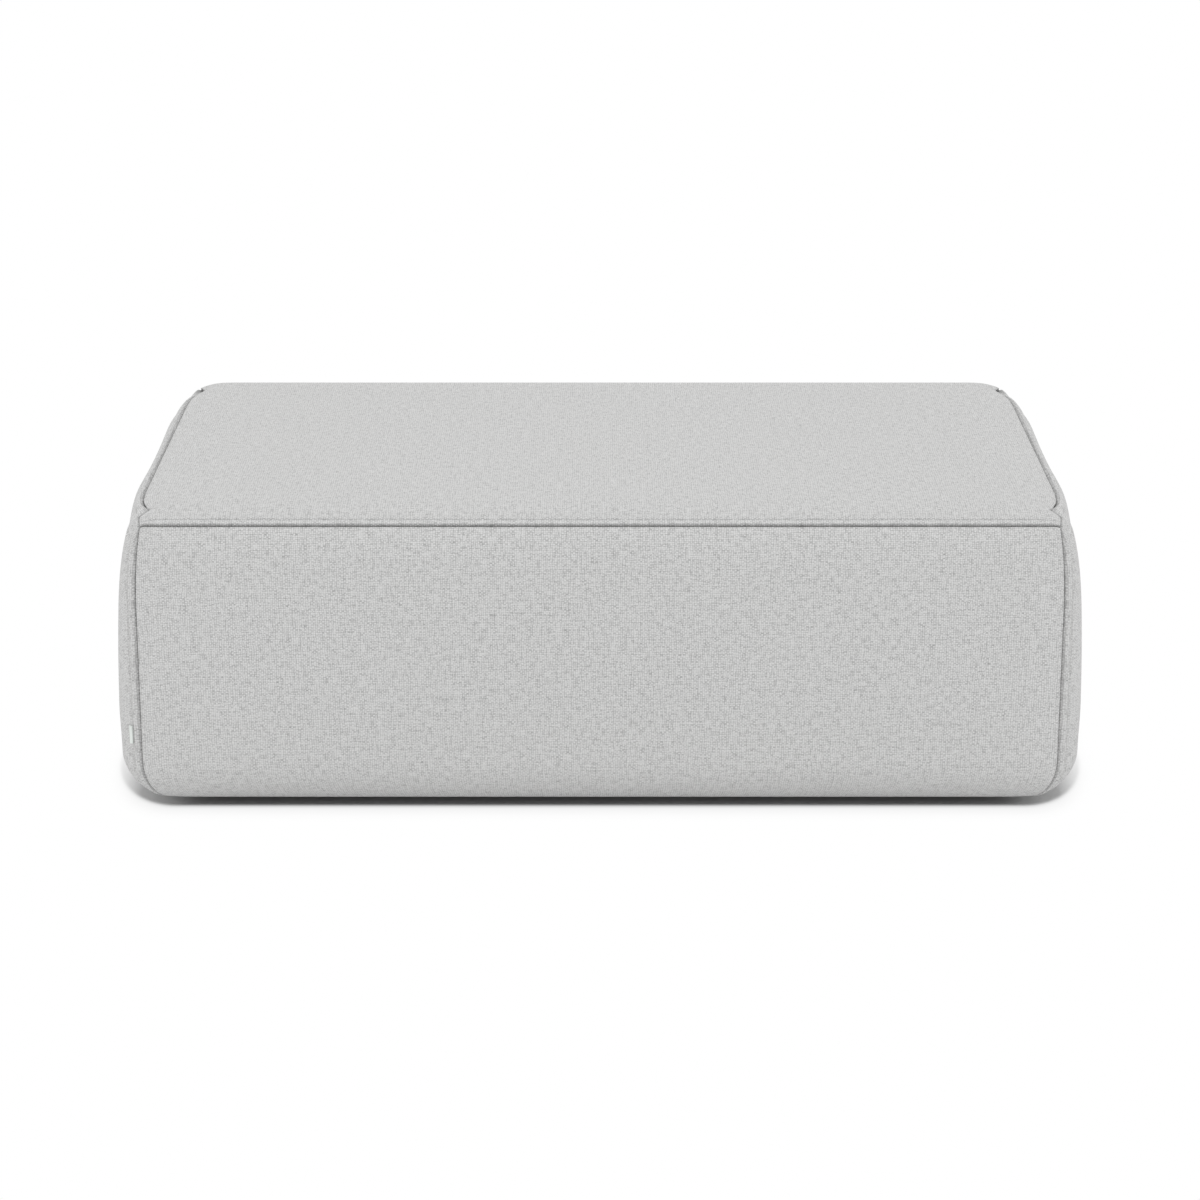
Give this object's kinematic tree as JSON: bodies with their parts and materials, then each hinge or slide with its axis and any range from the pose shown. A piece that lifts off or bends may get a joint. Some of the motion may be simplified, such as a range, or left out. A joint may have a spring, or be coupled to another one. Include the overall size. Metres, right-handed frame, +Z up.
{
  "type": "ottoman coffee table",
  "caption": "Low rectangular upholstered ottoman coffee table with a crowned top, rounded sides, lapped seams, a drawn-in lower edge and hidden block feet.",
  "frame": {"origin": "on the floor, at the centre of the footprint", "axes": "+X along the long side, to the right in the picture; +Y from the front seen in the picture to the back; +Z up"},
  "size_m": [1.215, 0.742, 0.4],
  "materials": {
    "cover_cloth": "matt, coarse woven",
    "label_tape": "matt, bare",
    "wadding": "loose fibre",
    "foam": "matt open cell",
    "felt": "matt pressed fibre",
    "webbing": "matt elastic weave",
    "timber": "planed, bare",
    "zinc_steel": "zinc plated",
    "foot_plastic": "fine textured",
    "dust_cloth": "matt non-woven"
  },
  "bodies": {
    "root": {"back_rail": "timber", "corner_block_back_left": "timber", "corner_block_back_right": "timber", "corner_block_front_left": "timber", "corner_block_front_right": "timber", "cover_back": "cover_cloth", "cover_front": "cover_cloth", "cover_left": "cover_cloth", "cover_right": "cover_cloth", "cover_top": "cover_cloth", "dust_cover": "dust_cloth", "foam_core": "foam", "foam_side_back": "foam", "foam_side_front": "foam", "foam_side_left": "foam", "foam_side_right": "foam", "foam_topper": "foam", "foot_back_left": "foot_plastic", "foot_back_right": "foot_plastic", "foot_front_left": "foot_plastic", "foot_front_right": "foot_plastic", "foot_screws": "zinc_steel", "front_rail": "timber", "left_rail": "timber", "right_rail": "timber", "side_label": "label_tape", "stretcher_1": "timber", "stretcher_2": "timber", "wadding_wrap": "wadding", "webbing_cross_1": "webbing", "webbing_cross_2": "webbing", "webbing_cross_3": "webbing", "webbing_cross_4": "webbing", "webbing_cross_5": "webbing", "webbing_cross_6": "webbing", "webbing_felt": "felt", "webbing_long_1": "webbing", "webbing_long_2": "webbing", "webbing_long_3": "webbing"}
  },
  "joints": []
}
